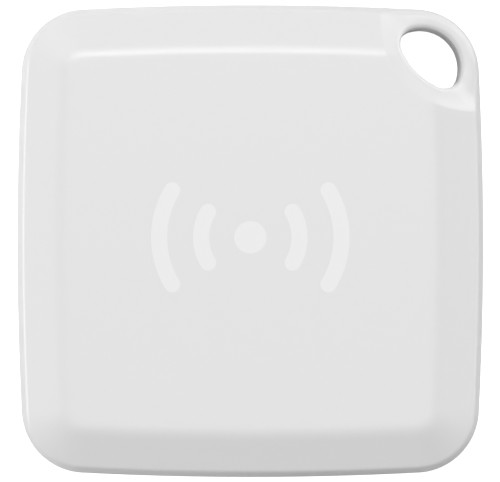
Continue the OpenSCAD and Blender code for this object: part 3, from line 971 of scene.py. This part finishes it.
def add_traces(material, colour, pitch_mm, width_share, patch_mm):
    """Copper traces under a board's mask: in each patch they run along X, along Y, or are absent."""
    tree = material.node_tree
    shader = tree.nodes["Principled BSDF"]
    mask = shader.inputs["Base Color"].links[0].from_socket
    place = tree.nodes.new("ShaderNodeTexCoord")
    patches = tree.nodes.new("ShaderNodeTexVoronoi")
    patches.distance = "CHEBYCHEV"
    patches.inputs["Scale"].default_value = 1 / (patch_mm * MM)
    kind = tree.nodes.new("ShaderNodeSeparateColor")
    axes = tree.nodes.new("ShaderNodeSeparateXYZ")
    across = tree.nodes.new("ShaderNodeMix")
    tree.links.new(place.outputs["Object"], patches.inputs["Vector"])
    tree.links.new(patches.outputs["Color"], kind.inputs[0])
    tree.links.new(place.outputs["Object"], axes.inputs[0])
    runs_along_x = math_node(tree, "GREATER_THAN", kind.outputs["Red"], 1 - SHARE_ALONG_X)
    has_traces = math_node(tree, "GREATER_THAN", kind.outputs["Green"], 1 - SHARE_TRACED)
    tree.links.new(runs_along_x, across.inputs[SHARE])
    tree.links.new(axes.outputs["X"], across.inputs[NUMBER_A])
    tree.links.new(axes.outputs["Y"], across.inputs[NUMBER_B])
    phase = math_node(tree, "MULTIPLY", across.outputs[NUMBER_OUT], 1 / (pitch_mm * MM))
    line = math_node(tree, "LESS_THAN", math_node(tree, "FRACT", phase, 0), width_share)
    present = tree.nodes.new("ShaderNodeMath")
    present.operation = "MULTIPLY"
    tree.links.new(line, present.inputs[0])
    tree.links.new(has_traces, present.inputs[1])
    mix = colour_mix(tree)
    mix.inputs[COLOUR_B].default_value = [*colour, 1]
    tree.links.new(present.outputs[0], mix.inputs[SHARE])
    tree.links.new(mask, mix.inputs[COLOUR_A])
    tree.links.new(mix.outputs[COLOUR_OUT], shader.inputs["Base Color"])


def dress(obj, material):
    """One material for the whole object."""
    obj.data.materials.clear()
    obj.data.materials.append(material)


def soften(obj, width_mm):
    """A small bevel on an object's hard edges."""
    bevel = obj.modifiers.new("edges", "BEVEL")
    bevel.width = width_mm * MM
    bevel.segments = 2
    bevel.limit_method = "ANGLE"
    bevel.angle_limit = math.radians(40)
    bevel.harden_normals = False


SHELL = surface("satin_white", (0.8, 0.8, 0.8), 0.3, tint=0.004, grain=0.12, bump=0.0006)
ICON = surface("icon_white", (0.87, 0.87, 0.87), 0.3, tint=0.004, grain=0.1, bump=0.0003)
NON_METALS = {
    "seal": surface("silicone", (0.05, 0.055, 0.06), 0.6, grain=0.3, bump=0.002),
    "foam": surface("foam", (0.06, 0.06, 0.07), 0.9, tint=0.2, grain=0.15, bump=0.02),
    "board": surface("solder_mask", (0.015, 0.09, 0.04), 0.3, tint=0.15, grain=0.5, bump=0.002),
    "chip": surface("epoxy", (0.015, 0.015, 0.016), 0.55, tint=0.2, grain=0.08, bump=0.002),
    "antenna": surface("antenna_ceramic", (0.75, 0.75, 0.7), 0.4, grain=0.15, bump=0.001),
    "resistor": surface(
        "resistor_glaze", (0.02, 0.02, 0.022), 0.3, tint=0.1, grain=0.15, bump=0.001),
    "capacitor": surface(
        "capacitor_ceramic", (0.4, 0.28, 0.16), 0.4, tint=0.1, grain=0.15, bump=0.001),
    "ferrite": surface("ferrite", (0.06, 0.06, 0.062), 0.5, tint=0.15, grain=0.1, bump=0.002),
    "tape": surface("adhesive", (0.03, 0.03, 0.035), 0.8, tint=0.1, grain=0.3, bump=0.004),
    "button": surface("nylon", (0.6, 0.06, 0.04), 0.45, grain=0.2, bump=0.001),
    "cathode": surface(
        "pressed_powder", (0.02, 0.02, 0.02), 0.9, tint=0.3, grain=0.1, bump=0.01),
    "separator": surface("non_woven", (0.8, 0.8, 0.76), 0.95, tint=0.08, grain=0.2, bump=0.01),
}
METALS = {
    "steel": surface(
        "steel", (0.6, 0.6, 0.58), 0.28, grain=0.08, bump=0.0006, stretch=(8, 1, 1), Metallic=1),
    "spring": surface(
        "spring_bronze", (0.75, 0.58, 0.28), 0.25, grain=0.1, bump=0.0006, Metallic=1),
    "brass": surface(
        "brass", (0.7, 0.5, 0.2), 0.3, grain=0.12, bump=0.0006, stretch=(1, 10, 1), Metallic=1),
    "piezo": surface(
        "silvered_ceramic", (0.75, 0.74, 0.7), 0.45, grain=0.15, bump=0.001, Metallic=0.6),
    "lithium": surface(
        "lithium", (0.55, 0.56, 0.58), 0.5, tint=0.1, grain=0.4, bump=0.004, Metallic=1),
}
FINISHES = {**NON_METALS, **METALS}
add_traces(FINISHES["board"], (0.022, 0.135, 0.052), pitch_mm=0.65, width_share=0.33, patch_mm=2.4)

# ---- Pieces
front = front_piece()
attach(front, "front_half")
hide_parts("front_cover")
dress(front, SHELL)

icon = icon_piece()
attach(icon, "front_half")
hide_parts("front_icon")
dress(icon, ICON)

rear = rear_piece()
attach(rear, "rear_half")
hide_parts("rear_cover")
dress(rear, SHELL)

SOLDERED = [
    tinned_ends("capacitor_ends", "capacitors", length=0.22),
    tinned_ends("resistor_ends", "resistors", length=0.2),
    tinned_ends("inductor_ends", "boost_inductor", length=0.45),
    tinned_ends("antenna_ends", "chip_antenna", length=0.6),
    chip_pads(count=10, pitch=0.5),
]
for piece in SOLDERED:
    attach(piece, "front_half")
    dress(piece, FINISHES["steel"])

for part in frame["record"]["subparts"]:
    if part["material_slot"] in FINISHES:
        dress(frame["nodes"][part["node"]], FINISHES[part["material_slot"]])
        soften(frame["nodes"][part["node"]], BEVEL)

# ---- Floor, light and camera
FLOOR_HALF_M = 3
FLOOR_GREY = 0.64
FLOOR_GLOW = 0.14
FLOOR_GLOW_SLANT = (-0.11, 0.06, 0)
SKY = 0.171
# The camera looks straight down, CAMERA_ABOVE over the parting face, and sees VIEW_W across there
VIEW_W = 40.8
CAMERA_ABOVE = 395
CAMERA_X = -0.025
CLIP_START_M = 0.01
SENSOR_MM = 36


def plane(name, half, z):
    """A level square; its measures are in metres."""
    mesh = bpy.data.meshes.new(name)
    corners = [(-half, -half, z), (half, -half, z), (half, half, z), (-half, half, z)]
    mesh.from_pydata(corners, [], [(0, 1, 2, 3)])
    obj = bpy.data.objects.new(name, mesh)
    bpy.context.scene.collection.objects.link(obj)
    return obj


def floor_material():
    """Plain white to the camera; to the tag, a card that is brighter to its left and above it."""
    material, tree, shader = node_material("floor_white")
    shader.inputs["Base Color"].default_value = (FLOOR_GREY, FLOOR_GREY, FLOOR_GREY, 1)
    shader.inputs["Roughness"].default_value = 1
    shader.inputs["Specular IOR Level"].default_value = 0
    path = tree.nodes.new("ShaderNodeLightPath")
    place = tree.nodes.new("ShaderNodeTexCoord")
    outwards = tree.nodes.new("ShaderNodeVectorMath")
    outwards.operation = "NORMALIZE"
    slant = tree.nodes.new("ShaderNodeVectorMath")
    slant.operation = "DOT_PRODUCT"
    slant.inputs[1].default_value = FLOOR_GLOW_SLANT
    level = tree.nodes.new("ShaderNodeMath")
    level.inputs[1].default_value = FLOOR_GLOW
    pick = tree.nodes.new("ShaderNodeMix")
    pick.inputs[NUMBER_B].default_value = 1
    glow = tree.nodes.new("ShaderNodeEmission")
    lit = tree.nodes.new("ShaderNodeAddShader")
    tree.links.new(place.outputs["Object"], outwards.inputs[0])
    tree.links.new(outwards.outputs["Vector"], slant.inputs[0])
    tree.links.new(slant.outputs["Value"], level.inputs[0])
    tree.links.new(path.outputs["Is Camera Ray"], pick.inputs[SHARE])
    tree.links.new(level.outputs[0], pick.inputs[NUMBER_A])
    tree.links.new(pick.outputs[NUMBER_OUT], glow.inputs["Strength"])
    tree.links.new(shader.outputs[0], lit.inputs[0])
    tree.links.new(glow.outputs[0], lit.inputs[1])
    tree.links.new(lit.outputs[0], tree.nodes["Material Output"].inputs["Surface"])
    return material


floor = plane("floor", FLOOR_HALF_M, 0)
dress(floor, floor_material())


def area_light(name, azimuth, elevation, distance, size, power):
    """A square softbox that looks at the tag; azimuth 0 is along +X and 90 along +Y."""
    az, el = math.radians(azimuth), math.radians(elevation)
    place = Vector((math.cos(az) * math.cos(el), math.sin(az) * math.cos(el), math.sin(el)))
    data = bpy.data.lights.new(name, "AREA")
    data.size = size
    data.energy = power
    light = bpy.data.objects.new(name, data)
    light.location = place * distance
    light.rotation_euler = (-place).to_track_quat("-Z", "Y").to_euler()
    bpy.context.scene.collection.objects.link(light)


LIGHT_DISTANCE = 2.5
# Softboxes round the tag: azimuth and elevation in degrees, size in metres and power in watts.
# Most powers, the sky and the floor's glow began as a numeric fit of renders with one light each
# to the photo's tones, and were changed from there; they are not a real studio's
SOFTBOXES = {
    "left_low": (180, 12, 1.0, 22.7),
    "right_low": (0, 12, 1.0, 3.8),
    "upper_right_low": (32, 12, 1.0, 12.3),
    "left": (180, 35, 1.1, 3.8),
    "upper_left": (135, 35, 1.1, 4.0),
    "upper_right": (43, 35, 1.1, 14.6),
    "right": (0, 35, 1.1, 1.1),
    "lower_low": (270, 12, 1.0, 2.6),
    "lower": (270, 35, 1.1, 1.9),
    "upper_left_high": (135, 60, 1.1, 4.0),
    "left_high": (180, 60, 1.1, 1.2),
    "upper_right_high": (45, 60, 1.1, 3.2),
    "highlight_left": (114, 70, 0.5, 4.0),
    "highlight_right": (45, 73, 0.5, 1.1),
    "highlight_low": (90, 64, 0.5, 2.0),
    "highlight": (90, 71, 0.5, 4.0),
    "highlight_high": (90, 78, 0.5, 5.6),
    "overhead": (270, 81, 1.0, 2.9),
}
for name, (azimuth, elevation, size, power) in SOFTBOXES.items():
    area_light(name, azimuth, elevation, LIGHT_DISTANCE, size, power)


def studio_sky():
    """A faint even sky that the camera sees as plain white."""
    world = bpy.data.worlds.new("studio")
    world.use_nodes = True
    tree = world.node_tree
    light = tree.nodes["Background"]
    backdrop = tree.nodes.new("ShaderNodeBackground")
    light.inputs["Strength"].default_value = SKY
    backdrop.inputs["Strength"].default_value = 1
    for shade in (light, backdrop):
        shade.inputs["Color"].default_value = (1, 1, 1, 1)
    path = tree.nodes.new("ShaderNodeLightPath")
    pick = tree.nodes.new("ShaderNodeMixShader")
    tree.links.new(path.outputs["Is Camera Ray"], pick.inputs[0])
    tree.links.new(light.outputs[0], pick.inputs[1])
    tree.links.new(backdrop.outputs[0], pick.inputs[2])
    tree.links.new(pick.outputs[0], tree.nodes["World Output"].inputs["Surface"])
    return world


bpy.context.scene.world = studio_sky()
bpy.context.scene.view_settings.view_transform = "Standard"

camera_data = bpy.data.cameras.new("camera")
camera_data.sensor_width = SENSOR_MM
camera_data.lens = SENSOR_MM * CAMERA_ABOVE / VIEW_W
camera_data.clip_start = CLIP_START_M
camera = bpy.data.objects.new("camera", camera_data)
camera.location = (CAMERA_X * MM, 0, (PARTING + CAMERA_ABOVE) * MM)
bpy.context.scene.collection.objects.link(camera)
bpy.context.scene.camera = camera
